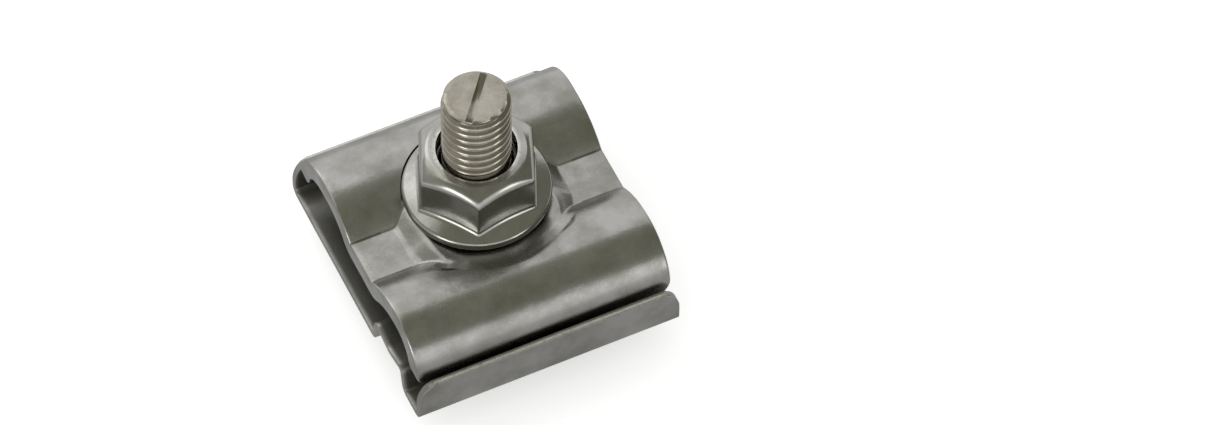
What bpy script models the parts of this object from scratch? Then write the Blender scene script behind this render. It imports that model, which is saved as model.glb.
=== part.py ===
"""Earthing clamp for a round conductor and a stranded cable.

Four loose pieces, as they come apart on a bench: a folded bottom plate, a pressed
top plate with two channels, a hammer-head bolt and a flanged hexagon nut.

Frame: the origin is on the bolt's axis, on the underside of its head. +X runs along
the conductors, +Y towards the round conductor's channel, +Z up the bolt.
Sizes are in millimetres and are turned to metres where the meshes are made.
"""

import math

import bmesh
import bpy
from mathutils import Matrix, Vector

MM = 0.001

# clearances
SEAT_GAP = 0.3
BOLT_PLAY = 0.7
THREAD_PLAY = 0.3
NEAR_RIM_PLAY = 0.8
FAR_RIM_PLAY = 0.3
ROD_PLAY = 0.1

# hammer-head bolt, M10 x 35; its head lies along the slot in its end
THREAD_DIAMETER = 9.85
THREAD_PITCH = 1.5
THREAD_DEPTH = 0.8
THREAD_CREST_SHARE = 0.2
THREAD_ROOT_SHARE = 0.25
SHANK_LENGTH = 35.0
SHANK_END_CHAMFER = 0.65
HEAD_LENGTH = 28.4
HEAD_WIDTH = 12.2
HEAD_THICKNESS = 4.7
HEAD_CORNER_RADIUS = 5.8
HEAD_EDGE_CHAMFER = 0.35
HEAD_ANGLE = 51.0
SLOT_WIDTH = 1.3
SLOT_DEPTH = 2.3

# folded bottom plate; bends are given by their inside radius
SHEET_THICKNESS = 1.0
SHEET_LENGTH = 40.0
NEAR_LIP_HEIGHT = 7.5
FAR_LIP_HEIGHT = 6.8
LIP_CORNER_RADIUS = 3.0
FOLD_RADIUS = 0.6
CRADLE_WIDTH = 9.4
CRADLE_FROM_CREST = 2.9
CRADLE_RIDGE_HEIGHT = 4.1
CRADLE_VALLEY_HEIGHT = 3.1
CRADLE_WALL_LEAN = 0.9
CRADLE_FOOT_RADIUS = 0.5
CRADLE_RIDGE_RADIUS = 0.4
CRADLE_VALLEY_RADIUS = 2.5

# the round conductor that the clamp stands open for
ROD_DIAMETER = 10.0
ROD_AXIS_Y = 9.8

# pressed top plate; bends are given by their inside radius
PLATE_THICKNESS = 3.0
PLATE_LENGTH = 39.0
CHANNEL_DROP = 3.3
FAR_CREST_FLAT = 1.8
FAR_FLANK_RADIUS = 7.6
FAR_RIM_ANGLE = 8.0
NEAR_CREST_Y = -16.8
NEAR_CREST_RADIUS = 2.7
NEAR_FLANK_LEAN = 20.5
NEAR_RIM_LENGTH = 1.0
WEB_CREASE_RADIUS = 0.5
PLATE_EDGE_CHAMFER = 0.25

# round seat pressed into the top plate for the nut
SEAT_BELOW_CREST = 1.5
SEAT_MARGIN = 0.4
SEAT_RAMP_RUN = 2.5
SEAT_END_CUT = 1.1
SEAT_DISH_MARGIN = 0.2
SEAT_DISH_SLOPE = 1.6
SEAT_RECESS_INSET = 1.4

# flanged hexagon nut, M10
NUT_HEIGHT = 10.0
NUT_ACROSS_FLATS = 16.0
NUT_FLANGE_DIAMETER = 21.2
NUT_RIM_THICKNESS = 0.75
NUT_CONE_SLOPE = 0.62
NUT_TOP_FACE_DIAMETER = 15.0
NUT_CHAMFER_SLOPE = 0.55
NUT_COUNTERSINK_DIAMETER = 11.4
NUT_CORNER_ANGLE = 7.0

# facets
ARC_STEPS = 12
ROUND_STEPS = 64
THREAD_STEPS = 24

# how far a cutter runs past the piece it cuts
OVERRUN = 2.0

# levels and places that follow from the sizes above
SHEET_UNDERSIDE = HEAD_THICKNESS + SEAT_GAP
SHEET_TOP = SHEET_UNDERSIDE + SHEET_THICKNESS
ROD_AXIS_Z = SHEET_TOP + ROD_DIAMETER / 2
FAR_ARCH_RADIUS = ROD_DIAMETER / 2 + ROD_PLAY + PLATE_THICKNESS
NEAR_ARCH_RADIUS = NEAR_CREST_RADIUS + PLATE_THICKNESS
CREST_Z = ROD_AXIS_Z + FAR_ARCH_RADIUS
WEB_Z = CREST_Z - CHANNEL_DROP
SEAT_Z = CREST_Z - SEAT_BELOW_CREST
SEAT_TOP_RADIUS = NUT_FLANGE_DIAMETER / 2 + SEAT_MARGIN
SEAT_FOOT_RADIUS = SEAT_TOP_RADIUS + SEAT_RAMP_RUN
SEAT_HALF_WIDTH = SEAT_FOOT_RADIUS - SEAT_END_CUT
SEAT_DISH_RADIUS = SEAT_TOP_RADIUS + SEAT_DISH_MARGIN
NEAR_LIP_FACE = NEAR_CREST_Y - NEAR_ARCH_RADIUS - NEAR_RIM_PLAY - SHEET_THICKNESS
FAR_LIP_FACE = ROD_AXIS_Y + FAR_ARCH_RADIUS + FAR_RIM_PLAY + SHEET_THICKNESS
SHANK_RADIUS = THREAD_DIAMETER / 2
SHANK_END_Z = HEAD_THICKNESS + SHANK_LENGTH
PLATE_HOLE_RADIUS = SHANK_RADIUS + BOLT_PLAY
NUT_BORE_RADIUS = SHANK_RADIUS + THREAD_PLAY
NUT_UNDERSIDE = SEAT_Z + SEAT_GAP
NUT_TOP = NUT_UNDERSIDE + NUT_HEIGHT


def clear_scene():
    """Remove whatever the scene holds."""
    for item in list(bpy.data.objects):
        bpy.data.objects.remove(item, do_unlink=True)


def metal(name, color, roughness):
    """Return a metallic material with its own colour and roughness."""
    material = bpy.data.materials.new(name)
    material.use_nodes = True
    shader = material.node_tree.nodes["Principled BSDF"]
    shader.inputs["Base Color"].default_value = (*color, 1.0)
    shader.inputs["Metallic"].default_value = 1.0
    shader.inputs["Roughness"].default_value = roughness
    return material


def object_from(name, shape, material=None):
    """Turn a bmesh in millimetres into a named object in metres."""
    bmesh.ops.scale(shape, vec=(MM, MM, MM), verts=shape.verts)
    bmesh.ops.recalc_face_normals(shape, faces=shape.faces)
    mesh = bpy.data.meshes.new(name)
    shape.to_mesh(mesh)
    shape.free()
    mesh.shade_smooth()
    mesh.set_sharp_from_angle(angle=math.radians(30))
    piece = bpy.data.objects.new(name, mesh)
    bpy.context.scene.collection.objects.link(piece)
    if material is not None:
        mesh.materials.append(material)
    return piece


def boolean(piece, operation, name, shape):
    """Give a piece one boolean with a hidden helper object, which is returned."""
    helper = object_from(name, shape)
    helper.hide_render = True
    helper.display_type = "WIRE"
    step = piece.modifiers.new(name, "BOOLEAN")
    step.operation = operation
    step.object = helper
    return helper


def even_shading(piece):
    """Shade a finished piece by its large faces, so that its flats look flat."""
    step = piece.modifiers.new("even_shading", "WEIGHTED_NORMAL")
    step.keep_sharp = True


def chamfer(piece, width):
    """Break the sharp edges that a piece has so far."""
    step = piece.modifiers.new("edge_chamfer", "BEVEL")
    step.width = width * MM
    step.segments = 1
    step.limit_method = "ANGLE"
    step.angle_limit = math.radians(50)


def turned(profile):
    """Return a bmesh turned about Z from (radius, z) points, its ends on the axis."""
    shape = bmesh.new()
    rings = []
    for radius, z in profile:
        count = ROUND_STEPS if radius > 0 else 1
        rings.append([
            shape.verts.new((
                radius * math.cos(math.tau * k / count),
                radius * math.sin(math.tau * k / count),
                z,
            ))
            for k in range(count)
        ])
    for low, high in zip(rings, rings[1:]):
        for k in range(ROUND_STEPS):
            corners = [
                low[k % len(low)],
                low[(k + 1) % len(low)],
                high[(k + 1) % len(high)],
                high[k % len(high)],
            ]
            shape.faces.new(list(dict.fromkeys(corners)))
    return shape


def prism(outline, bottom, top):
    """Return a bmesh that stands an (x, y) outline up from bottom to top."""
    shape = bmesh.new()
    floor = [shape.verts.new((x, y, bottom)) for x, y in outline]
    raised = bmesh.ops.extrude_face_region(shape, geom=[shape.faces.new(floor)])
    lifted = [item for item in raised["geom"] if isinstance(item, bmesh.types.BMVert)]
    bmesh.ops.translate(shape, vec=(0, 0, top - bottom), verts=lifted)
    return shape


def arc(center, radius, start, end):
    """Return stations along an arc, its angles in degrees.

    A station is a point of a drawn face and the face's direction there, to the left
    of the way that the stations run.
    """
    stations = []
    for k in range(ARC_STEPS + 1):
        angle = math.radians(start + (end - start) * k / ARC_STEPS)
        outward = Vector((math.cos(angle), math.sin(angle)))
        stations.append((Vector(center) + radius * outward, outward))
    return stations


def bent_path(corners, thickness):
    """Return stations along a path of (y, z, inside radius) corners.

    The sheet lies to the left of the path where the thickness is positive and to its
    right where it is negative, so a bend round the sheet adds the thickness to its
    radius. A bend is never wider than its shorter leg leaves room for.
    """
    points = [Vector(corner[:2]) for corner in corners]
    first = (points[1] - points[0]).normalized()
    stations = [(points[0], Vector((-first.y, first.x)))]
    for before, point, after, corner in zip(points, points[1:], points[2:], corners[1:]):
        coming = (point - before).normalized()
        going = (after - point).normalized()
        turn = -coming.angle_signed(going)
        side = math.copysign(1, turn)
        radius = corner[2] + max(0.0, side * thickness)
        room = 0.49 * min((point - before).length, (after - point).length)
        setback = min(radius * math.tan(abs(turn) / 2), room)
        radius = setback / math.tan(abs(turn) / 2)
        left = Vector((-coming.y, coming.x))
        center = point - coming * setback + left * radius * side
        steps = max(2, round(ARC_STEPS * abs(turn) / (math.pi / 2)))
        for k in range(steps + 1):
            normal = Matrix.Rotation(turn * k / steps, 2) @ left
            stations.append((center - normal * radius * side, normal))
    last = (points[-1] - points[-2]).normalized()
    stations.append((points[-1], Vector((-last.y, last.x))))
    return stations


def sheet(stations, thickness, half_lengths):
    """Return a bmesh of a bent sheet that runs along X to each station's own ends."""
    shape = bmesh.new()
    rows = []
    for (point, normal), half in zip(stations, half_lengths):
        back = point + normal * thickness
        rows.append([
            shape.verts.new((-half, *point)),
            shape.verts.new((half, *point)),
            shape.verts.new((half, *back)),
            shape.verts.new((-half, *back)),
        ])
    for row, following in zip(rows, rows[1:]):
        for k in range(4):
            following_k = (k + 1) % 4
            shape.faces.new((row[k], row[following_k], following[following_k], following[k]))
    shape.faces.new(rows[0])
    shape.faces.new(rows[-1])
    return shape


def bolt_hole():
    """Return a cutter for the round hole that both plates have for the bolt."""
    top = CREST_Z + OVERRUN
    return turned([(0, 0), (PLATE_HOLE_RADIUS, 0), (PLATE_HOLE_RADIUS, top), (0, top)])


def folded_sheet():
    """Return the stations along the folded sheet's underside, up to both lips' corners."""
    base = SHEET_UNDERSIDE
    ridge = base + CRADLE_RIDGE_HEIGHT
    middle = NEAR_CREST_Y + CRADLE_FROM_CREST
    near_foot = middle - CRADLE_WIDTH / 2
    far_foot = middle + CRADLE_WIDTH / 2
    return bent_path([
        (NEAR_LIP_FACE, base + NEAR_LIP_HEIGHT - LIP_CORNER_RADIUS, 0),
        (NEAR_LIP_FACE, base, FOLD_RADIUS),
        (near_foot, base, CRADLE_FOOT_RADIUS),
        (near_foot + CRADLE_WALL_LEAN, ridge, CRADLE_RIDGE_RADIUS),
        (middle, base + CRADLE_VALLEY_HEIGHT, CRADLE_VALLEY_RADIUS),
        (far_foot - CRADLE_WALL_LEAN, ridge, CRADLE_RIDGE_RADIUS),
        (far_foot, base, CRADLE_FOOT_RADIUS),
        (FAR_LIP_FACE, base, FOLD_RADIUS),
        (FAR_LIP_FACE, base + FAR_LIP_HEIGHT - LIP_CORNER_RADIUS, 0),
    ], SHEET_THICKNESS)


def lip_corners(face, height, inward):
    """Return stations up a lip's rounded corners, each with half the sheet's length."""
    rows = []
    for k in range(1, ARC_STEPS + 1):
        angle = math.pi / 2 * k / ARC_STEPS
        z = SHEET_UNDERSIDE + height - LIP_CORNER_RADIUS * (1 - math.sin(angle))
        half = SHEET_LENGTH / 2 - LIP_CORNER_RADIUS * (1 - math.cos(angle))
        rows.append(((Vector((face, z)), Vector((inward, 0))), half))
    return rows


def make_bottom_plate():
    """Make the folded plate with its two lips and the raised cradle for the cable."""
    rows = [
        *reversed(lip_corners(NEAR_LIP_FACE, NEAR_LIP_HEIGHT, 1)),
        *((station, SHEET_LENGTH / 2) for station in folded_sheet()),
        *lip_corners(FAR_LIP_FACE, FAR_LIP_HEIGHT, -1),
    ]
    stations, half_lengths = zip(*rows)
    plate = object_from(
        "bottom_plate",
        sheet(stations, SHEET_THICKNESS, half_lengths),
        metal("mill_finish_sheet", (0.42, 0.42, 0.41), 0.42),
    )
    boolean(plate, "DIFFERENCE", "bottom_bolt_hole", bolt_hole())
    even_shading(plate)


def top_plate_stations():
    """Return the stations along the upper face, from the near rim to the far rim."""
    near = arc(
        (NEAR_CREST_Y, CREST_Z - NEAR_ARCH_RADIUS),
        NEAR_ARCH_RADIUS, 180, 90 - NEAR_FLANK_LEAN,
    )
    flank_radius = FAR_FLANK_RADIUS + PLATE_THICKNESS
    flank_lean = math.degrees(math.acos(1 - CHANNEL_DROP / flank_radius))
    flank = arc(
        (ROD_AXIS_Y - FAR_CREST_FLAT, CREST_Z - flank_radius),
        flank_radius, 90 + flank_lean, 90,
    )
    far = arc((ROD_AXIS_Y, ROD_AXIS_Z), FAR_ARCH_RADIUS, 90, FAR_RIM_ANGLE)
    fall = near[-1][0].y - WEB_Z
    web_start = near[-1][0].x + fall / math.tan(math.radians(NEAR_FLANK_LEAN))
    web = bent_path([
        (*near[-1][0], 0),
        (web_start, WEB_Z, WEB_CREASE_RADIUS),
        (*flank[0][0], WEB_CREASE_RADIUS),
        (*flank[1][0], 0),
    ], -PLATE_THICKNESS)
    rim = (near[0][0] - Vector((0, NEAR_RIM_LENGTH)), near[0][1])
    return [rim, *near, *web[1:-1], *flank[1:], *far]


def seat_pad(top_radius, foot_radius, half_width, top, foot):
    """Return a low frustum with a round top and a round foot cut flat at both ends.

    On the far side the foot stops early, inside the flank of the round conductor's
    channel.
    """
    shape = bmesh.new()
    flat_end = math.acos(half_width / foot_radius)
    for k in range(ROUND_STEPS):
        angle = math.tau * k / ROUND_STEPS
        shape.verts.new((top_radius * math.cos(angle), top_radius * math.sin(angle), top))
    for k in range(ROUND_STEPS // 2 + 1):
        angle = math.pi + flat_end + (math.pi - 2 * flat_end) * k / (ROUND_STEPS // 2)
        shape.verts.new((foot_radius * math.cos(angle), foot_radius * math.sin(angle), foot))
    far_end = ROD_AXIS_Y - FAR_CREST_FLAT - PLATE_THICKNESS
    for x in (-half_width, half_width):
        shape.verts.new((x, far_end - PLATE_THICKNESS, foot))
    hull = bmesh.ops.convex_hull(shape, input=shape.verts)
    inner = [item for item in hull["geom_interior"] if isinstance(item, bmesh.types.BMVert)]
    bmesh.ops.delete(shape, geom=inner, context="VERTS")
    return shape


def seat_dish():
    """Return a cutter that presses the crowns of both channels down round the seat."""
    wall = CREST_Z + OVERRUN - SEAT_Z
    rim_radius = SEAT_DISH_RADIUS + wall * SEAT_DISH_SLOPE
    return turned([
        (0, SEAT_Z),
        (SEAT_DISH_RADIUS, SEAT_Z),
        (rim_radius, SEAT_Z + wall),
        (0, SEAT_Z + wall),
    ])


def make_top_plate():
    """Make the pressed plate: two channels, a web between them and the nut's seat."""
    stations = top_plate_stations()
    plate = object_from(
        "top_plate",
        sheet(stations, -PLATE_THICKNESS, [PLATE_LENGTH / 2] * len(stations)),
        metal("tumbled_plate", (0.46, 0.46, 0.44), 0.3),
    )
    chamfer(plate, PLATE_EDGE_CHAMFER)
    foot = WEB_Z - PLATE_THICKNESS / 6
    boolean(plate, "UNION", "seat_pad", seat_pad(
        SEAT_TOP_RADIUS, SEAT_FOOT_RADIUS, SEAT_HALF_WIDTH, SEAT_Z, foot,
    ))
    boolean(plate, "DIFFERENCE", "seat_dish", seat_dish())
    boolean(plate, "DIFFERENCE", "seat_recess", seat_pad(
        SEAT_TOP_RADIUS - SEAT_RECESS_INSET,
        SEAT_FOOT_RADIUS - SEAT_RECESS_INSET,
        SEAT_HALF_WIDTH - SEAT_RECESS_INSET,
        SEAT_Z - PLATE_THICKNESS,
        foot - PLATE_THICKNESS,
    ))
    boolean(plate, "DIFFERENCE", "top_bolt_hole", bolt_hole())
    even_shading(plate)


def head_outline():
    """Return the bolt head's outline: two opposite corners square, two round.

    The square corners stop the head after a quarter turn in a slotted rail.
    """
    half_length = HEAD_LENGTH / 2
    half_width = HEAD_WIDTH / 2
    radius = HEAD_CORNER_RADIUS
    quarter = []
    for k in range(ARC_STEPS + 1):
        angle = -math.pi / 2 * (1 - k / ARC_STEPS)
        quarter.append(Vector((
            half_length - radius + radius * math.cos(angle),
            -half_width + radius + radius * math.sin(angle),
        )))
    half = [*quarter, Vector((half_length, half_width))]
    turn = Matrix.Rotation(math.radians(HEAD_ANGLE), 2)
    return [turn @ point for point in (*half, *(-point for point in half))]


def thread_profile():
    """Return one pitch of the thread as (share of the pitch, radius) points."""
    flank = (1 - THREAD_CREST_SHARE - THREAD_ROOT_SHARE) / 2
    return [
        (0, SHANK_RADIUS),
        (THREAD_CREST_SHARE, SHANK_RADIUS),
        (THREAD_CREST_SHARE + flank, SHANK_RADIUS - THREAD_DEPTH),
        (1 - flank, SHANK_RADIUS - THREAD_DEPTH),
    ]


def thread(bottom, top):
    """Return a rod with a right-hand thread that runs past bottom and top.

    A row of points climbs the helix for one turn and ends where the row a turn further
    up starts, so each row keeps its own place in the thread's profile. Each end is
    closed by a fan from the axis.
    """
    profile = thread_profile()
    turns = math.ceil((top - bottom) / THREAD_PITCH) + 4
    shape = bmesh.new()
    rows = []
    for turn in range(turns):
        for share, radius in profile:
            start = bottom + THREAD_PITCH * (turn - 2 + share)
            rows.append([
                shape.verts.new((
                    radius * math.cos(math.tau * k / THREAD_STEPS),
                    radius * math.sin(math.tau * k / THREAD_STEPS),
                    start + THREAD_PITCH * k / THREAD_STEPS,
                ))
                for k in range(THREAD_STEPS)
            ])
    helices = [[*row, above[0]] for row, above in zip(rows, rows[len(profile):])]
    for low, high in zip(helices, helices[1:]):
        for k in range(THREAD_STEPS):
            shape.faces.new((low[k], low[k + 1], high[k + 1], high[k]))
    for end in (0, len(helices) - 1):
        step = [rows[end + row][0] for row in range(len(profile) - 1, 0, -1)]
        loop = [*helices[end], *step]
        middle = shape.verts.new((0, 0, (loop[0].co.z + loop[THREAD_STEPS].co.z) / 2))
        for k, point in enumerate(loop):
            shape.faces.new((middle, point, loop[(k + 1) % len(loop)]))
    unused = [point for point in shape.verts if not point.link_faces]
    bmesh.ops.delete(shape, geom=unused, context="VERTS")
    bmesh.ops.triangulate(shape, faces=shape.faces)
    return shape


def slot_cutter():
    """Return a cutter for the screwdriver slot, in line with the head."""
    half_width = SLOT_WIDTH / 2
    reach = SHANK_RADIUS + OVERRUN
    turn = Matrix.Rotation(math.radians(HEAD_ANGLE), 2)
    corners = ((-reach, -half_width), (reach, -half_width), (reach, half_width), (-reach, half_width))
    outline = [turn @ Vector(corner) for corner in corners]
    return prism(outline, SHANK_END_Z - SLOT_DEPTH, SHANK_END_Z + OVERRUN)


def make_t_bolt():
    """Make the hammer-head bolt, standing on its head."""
    bolt = object_from(
        "t_bolt",
        prism(head_outline(), 0, HEAD_THICKNESS),
        metal("pickled_bolt", (0.45, 0.43, 0.38), 0.32),
    )
    chamfer(bolt, HEAD_EDGE_CHAMFER)
    root = HEAD_THICKNESS / 2
    reach = SHANK_RADIUS + OVERRUN
    shank = boolean(bolt, "UNION", "shank", turned([
        (0, root),
        (reach, root),
        (reach, SHANK_END_Z - SHANK_END_CHAMFER - OVERRUN),
        (SHANK_RADIUS - SHANK_END_CHAMFER, SHANK_END_Z),
        (0, SHANK_END_Z),
    ]))
    boolean(shank, "INTERSECT", "rolled_thread", thread(root, SHANK_END_Z))
    boolean(bolt, "DIFFERENCE", "slot", slot_cutter())
    even_shading(bolt)


def make_flange_nut():
    """Make the nut: a hexagon chamfered on top, a washer flange and a sunk bore."""
    corner_radius = NUT_ACROSS_FLATS / math.sqrt(3)
    angles = [math.radians(NUT_CORNER_ANGLE + 60 * k) for k in range(6)]
    outline = [(corner_radius * math.cos(a), corner_radius * math.sin(a)) for a in angles]
    cone_top = NUT_TOP_FACE_DIAMETER / 2
    flange = NUT_FLANGE_DIAMETER / 2
    rim_top = NUT_UNDERSIDE + NUT_RIM_THICKNESS
    sink = NUT_COUNTERSINK_DIAMETER / 2
    sink_depth = sink - NUT_BORE_RADIUS
    nut = object_from(
        "flange_nut",
        prism(outline, NUT_UNDERSIDE + NUT_RIM_THICKNESS / 2, NUT_TOP),
        metal("polished_nut", (0.55, 0.55, 0.53), 0.2),
    )
    boolean(nut, "INTERSECT", "top_chamfer", turned([
        (0, NUT_UNDERSIDE),
        (flange, NUT_UNDERSIDE),
        (flange, NUT_TOP - (flange - cone_top) * NUT_CHAMFER_SLOPE),
        (cone_top, NUT_TOP),
        (0, NUT_TOP),
    ]))
    neck = corner_radius * math.cos(math.pi / 6) * 0.9
    neck_top = rim_top + (flange - neck) * NUT_CONE_SLOPE
    boolean(nut, "UNION", "flange", turned([
        (0, NUT_UNDERSIDE),
        (flange - NUT_RIM_THICKNESS / 4, NUT_UNDERSIDE),
        (flange, NUT_UNDERSIDE + NUT_RIM_THICKNESS / 4),
        (flange, rim_top),
        (neck, neck_top),
        (0, neck_top),
    ]))
    boolean(nut, "DIFFERENCE", "thread_bore", turned([
        (0, NUT_UNDERSIDE - OVERRUN),
        (sink + OVERRUN, NUT_UNDERSIDE - OVERRUN),
        (NUT_BORE_RADIUS, NUT_UNDERSIDE + sink_depth),
        (NUT_BORE_RADIUS, NUT_TOP - sink_depth),
        (sink + OVERRUN, NUT_TOP + OVERRUN),
        (0, NUT_TOP + OVERRUN),
    ]))
    even_shading(nut)


clear_scene()
make_bottom_plate()
make_top_plate()
make_t_bolt()
make_flange_nut()
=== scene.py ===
"""Looks of a two-plate earthing clamp on an M10 hammer-head bolt.

The folded bottom plate, the pressed top plate, the bolt with its rolled thread and the
flanged nut are each a class that builds its mesh and gives it its steel. Sizes are in
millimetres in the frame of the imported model: origin on the bolt's axis under its head,
+X along the two channels, +Z up the bolt.
"""

import logging
import math
from dataclasses import dataclass
from enum import Enum
from typing import Any, Iterable, Sequence

import bmesh
import bpy
from bpy.types import Material, Mesh, Node, NodeSocket, NodeTree, Object
from mathutils import Matrix, Vector, noise


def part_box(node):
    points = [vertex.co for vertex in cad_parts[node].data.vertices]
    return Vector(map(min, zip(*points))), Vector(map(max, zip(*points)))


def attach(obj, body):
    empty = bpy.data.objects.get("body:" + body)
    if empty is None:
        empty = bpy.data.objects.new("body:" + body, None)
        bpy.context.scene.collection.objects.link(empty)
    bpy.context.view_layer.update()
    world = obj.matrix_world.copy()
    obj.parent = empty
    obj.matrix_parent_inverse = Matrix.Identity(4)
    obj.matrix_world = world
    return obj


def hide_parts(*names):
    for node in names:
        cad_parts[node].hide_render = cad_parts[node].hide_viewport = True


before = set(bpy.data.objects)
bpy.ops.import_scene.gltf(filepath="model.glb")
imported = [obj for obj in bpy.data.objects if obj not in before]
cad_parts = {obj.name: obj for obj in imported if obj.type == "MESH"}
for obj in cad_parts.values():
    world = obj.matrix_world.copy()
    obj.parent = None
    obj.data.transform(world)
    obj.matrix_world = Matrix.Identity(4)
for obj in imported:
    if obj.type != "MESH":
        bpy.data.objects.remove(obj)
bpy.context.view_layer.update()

MM = 0.001
TINY = 1e-6
QUARTER = math.pi / 2
log = logging.getLogger("earthing_clamp")


def linear(hex_colour: str) -> tuple[float, ...]:
    """Turn an sRGB hex colour into the linear values that shaders read.

    Args:
        hex_colour: six hex digits after a hash sign.

    Returns:
        Linear red, green and blue, and an alpha of one.
    """
    channels = []
    for start in (1, 3, 5):
        value = int(hex_colour[start:start + 2], 16) / 255
        channels.append(value / 12.92 if value <= 0.04045 else ((value + 0.055) / 1.055) ** 2.4)
    return (*channels, 1.0)


def add_node(
    tree: NodeTree, kind: str, inputs: dict[Any, Any] | None = None, **settings: Any
) -> Node:
    """Add a node with its settings, and set or link its inputs.

    Args:
        tree: the node tree that gets the node.
        kind: the node's type name.
        inputs: input name or number to a constant, a socket, or a node's first output.
        settings: attributes of the node itself.

    Returns:
        The new node.
    """
    node = tree.nodes.new(kind)
    for name, value in settings.items():
        setattr(node, name, value)
    for key, value in (inputs or {}).items():
        if isinstance(value, Node):
            value = value.outputs[0]
        if isinstance(value, NodeSocket):
            tree.links.new(value, node.inputs[key])
        else:
            node.inputs[key].default_value = value
    return node


@dataclass(frozen=True)
class Extent:
    """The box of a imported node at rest, in millimetres."""

    low: Vector
    high: Vector

    @classmethod
    def of(cls, node: str) -> "Extent":
        """Return the box of the node with that name."""
        low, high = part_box(node)
        return cls(low / MM, high / MM)


@dataclass(frozen=True)
class Station:
    """A point of a drawn face in the (y, z) plane and the way the face looks there."""

    point: Vector
    normal: Vector


def left_of(way: Vector) -> Vector:
    """Return the direction a quarter turn to the left of another."""
    return Vector((-way.y, way.x))


def arc(
    center: Sequence[float], radius: float, start: float, end: float, steps: int
) -> list[Station]:
    """Return stations along an arc.

    Args:
        center: the arc's centre as (y, z).
        radius: its radius.
        start: the first station's angle in degrees, from +Y towards +Z.
        end: the last station's angle.
        steps: how many pieces the arc is cut into.

    Returns:
        The stations, which look away from the centre.
    """
    stations = []
    for k in range(steps + 1):
        angle = math.radians(start + (end - start) * k / steps)
        outward = Vector((math.cos(angle), math.sin(angle)))
        stations.append(Station(Vector(center) + radius * outward, outward))
    return stations


def bent_path(
    corners: Sequence[tuple[float, float, float]], thickness: float, steps: int
) -> list[Station]:
    """Return stations along a path whose corners are bent round.

    Args:
        corners: (y, z, inside radius) of each corner; the two ends have no bend.
        thickness: the sheet's thickness, positive where it lies left of the path.
        steps: how many pieces a quarter turn is cut into.

    Returns:
        The stations, which look to the left of the path.
    """
    points = [Vector(corner[:2]) for corner in corners]
    stations = [Station(points[0], left_of((points[1] - points[0]).normalized()))]
    for before, point, after, corner in zip(points, points[1:], points[2:], corners[1:]):
        coming = (point - before).normalized()
        turn = -coming.angle_signed((after - point).normalized())
        side = math.copysign(1, turn)
        radius = corner[2] + max(0.0, side * thickness)
        setback = radius * math.tan(abs(turn) / 2)
        left = left_of(coming)
        center = point - coming * setback + left * radius * side
        count = max(2, round(steps * abs(turn) / QUARTER))
        for k in range(count + 1):
            normal = Matrix.Rotation(turn * k / count, 2) @ left
            stations.append(Station(center - normal * radius * side, normal))
    stations.append(Station(points[-1], left_of((points[-1] - points[-2]).normalized())))
    return stations


def filled(
    stations: Sequence[Station], gap: float, margin: float, close: float = 0.01
) -> list[Station]:
    """Return a path's stations, with more added where they lie wide apart.

    Args:
        stations: the path.
        gap: the widest distance that is left between two stations.
        margin: how much of the path is left out at each end.
        close: a station as close as this to an end is left out.

    Returns:
        The stations along what is left of the path.
    """
    lengths = [0.0]
    for one, other in zip(stations, stations[1:]):
        lengths.append(lengths[-1] + (other.point - one.point).length)

    def at(length: float) -> Station:
        """Find a station between two of the path's.

        Args:
            length: how far along the path it is.

        Returns:
            The station.
        """
        leg = 0
        while leg < len(stations) - 2 and lengths[leg + 1] < length:
            leg += 1
        share = (length - lengths[leg]) / max(lengths[leg + 1] - lengths[leg], TINY)
        normal = stations[leg].normal.lerp(stations[leg + 1].normal, share).normalized()
        return Station(stations[leg].point.lerp(stations[leg + 1].point, share), normal)

    first, last = margin, lengths[-1] - margin
    marks = [first, *(mark for mark in lengths if first + close < mark < last - close), last]
    found = []
    for start, end in zip(marks, marks[1:]):
        if end - start > close / 2:
            count = math.ceil((end - start) / gap)
            found += [at(start + (end - start) * k / count) for k in range(count)]
    return [*found, at(last)]


def share_of(value: float, start: float, span: float) -> float:
    """Return how far a value has come from a start through a span, from nought to one."""
    return max(0.0, min(1.0, (value - start) / span))


def smooth_max(one: float, other: float, blend: float) -> float:
    """Return the larger of two heights, rounded where they cross within a blend."""
    share = max(0.0, min(1.0, 0.5 + 0.5 * (one - other) / blend))
    return other * (1 - share) + one * share + blend * share * (1 - share)


def smooth_min(one: float, other: float, blend: float) -> float:
    """Return the smaller of two heights, rounded where they cross within a blend."""
    return -smooth_max(-one, -other, blend)


def face_outwards(mesh: Mesh) -> None:
    """Turn the faces of a closed mesh to look outwards.

    Args:
        mesh: the mesh.
    """
    shape = bmesh.new()
    shape.from_mesh(mesh)
    bmesh.ops.recalc_face_normals(shape, faces=shape.faces)
    shape.to_mesh(mesh)
    shape.free()


def mesh_object(name: str, points: Iterable[Vector], faces: Sequence[Sequence[int]]) -> Object:
    """Make an object at the origin from points in millimetres.

    Args:
        name: the object's name.
        points: the vertices.
        faces: the vertices of each face.

    Returns:
        The object, shaded smooth, with its faces looking outwards.
    """
    mesh = bpy.data.meshes.new(name)
    mesh.from_pydata([point * MM for point in points], [], faces)
    face_outwards(mesh)
    mesh.shade_smooth()
    piece = bpy.data.objects.new(name, mesh)
    bpy.context.scene.collection.objects.link(piece)
    return piece


def lofted(
    name: str, rings: Sequence[Sequence[Vector]], end: Sequence[Sequence[int]] | None = None
) -> Object:
    """Make a solid through closed rings of points.

    Args:
        name: the object's name.
        rings: the rings in order, each with as many points.
        end: the faces that close a ring, by its points' numbers; one flat face if left out.

    Returns:
        The solid.
    """
    count = len(rings[0])
    last = (len(rings) - 1) * count
    faces = []
    for low in range(0, last, count):
        high = low + count
        for k in range(count):
            following = (k + 1) % count
            faces.append([low + k, low + following, high + following, high + k])
    for first in (0, last):
        faces += [[first + k for k in face] for face in end or [range(count)]]
    return mesh_object(name, [point for ring in rings for point in ring], faces)


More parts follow.
